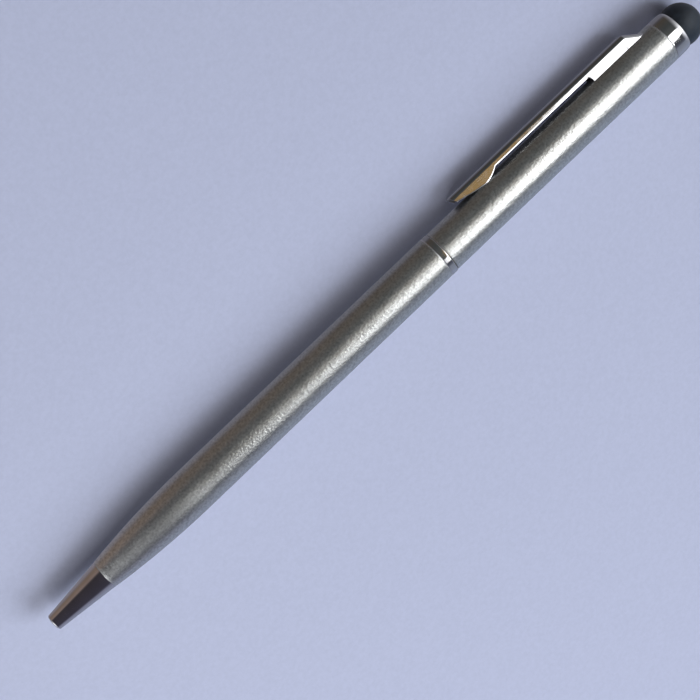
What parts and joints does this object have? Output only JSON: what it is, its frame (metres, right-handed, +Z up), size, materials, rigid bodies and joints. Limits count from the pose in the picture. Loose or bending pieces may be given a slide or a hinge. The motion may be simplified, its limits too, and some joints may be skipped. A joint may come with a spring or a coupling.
{
  "type": "twist ballpoint pen",
  "caption": "Slim satin metal twist pen with a chrome nose cone, centre ring and folded spring clip, and a soft rubber stylus dome on the end.",
  "frame": {"origin": "on the pen's axis, half-way along the straight part of the lower barrel", "axes": "+X along the pen towards the stylus dome, +Z up from the table that the pen rests on, +Y across the pen on the side of its clip"},
  "size_m": [0.142, 0.0095, 0.0076],
  "materials": {
    "satin_barrel": "satin",
    "chrome": "polished",
    "stylus_rubber": "matte",
    "seal_rubber": "matte",
    "brass": "satin",
    "steel": "satin",
    "white_plastic": "matte",
    "dark_plastic": "matte",
    "ink": "gloss"
  },
  "bodies": {
    "lower_half": {"nose_cone": "chrome", "lower_barrel": "satin_barrel", "mechanism_bush": "brass", "centre_ring": "chrome", "drag_o_ring": "seal_rubber", "thrust_washer": "white_plastic", "guide_sleeve": "steel", "retaining_ring": "steel"},
    "upper_half": {"upper_barrel": "satin_barrel", "cam_tube": "brass", "drive_bush": "white_plastic", "clip_anchor": "brass", "stylus_collar": "chrome", "stylus_holder": "dark_plastic"},
    "clip_leaf": {"clip": "chrome"},
    "dome": {"stylus_dome": "stylus_rubber"},
    "refill": {"refill_carrier": "white_plastic", "follower_pin": "steel", "refill_tube": "brass", "refill_ink": "ink", "refill_plug": "white_plastic", "refill_tip": "brass", "writing_ball": "steel"}
  },
  "joints": [
    {"name": "upper_twist", "type": "hinge", "parent": "lower_half", "child": "upper_half", "pos_m": [0.02786, 0, 0], "axis": [-1, 0, 0], "range_deg": [0, 180]},
    {"name": "refill_slide", "type": "slide", "parent": "lower_half", "child": "refill", "axis": [-1, 0, 0], "range_m": [0, 0.0037]},
    {"name": "clip_flex", "type": "hinge", "parent": "upper_half", "child": "clip_leaf", "pos_m": [0.07542, 0.00345, -0.00145], "axis": [0, -0.389, -0.9212], "range_deg": [0, 3.5], "stiffness_Nm_per_rad": 1.5},
    {"name": "dome_press", "type": "slide", "parent": "upper_half", "child": "dome", "axis": [-1, 0, 0], "range_m": [0, 0.0008], "stiffness_N_per_m": 2500, "deforming": ["stylus_dome"]}
  ],
  "couplings": [
    {"joint": "refill_slide", "follows": "upper_twist", "m_per_rad": 0.0011777}
  ]
}
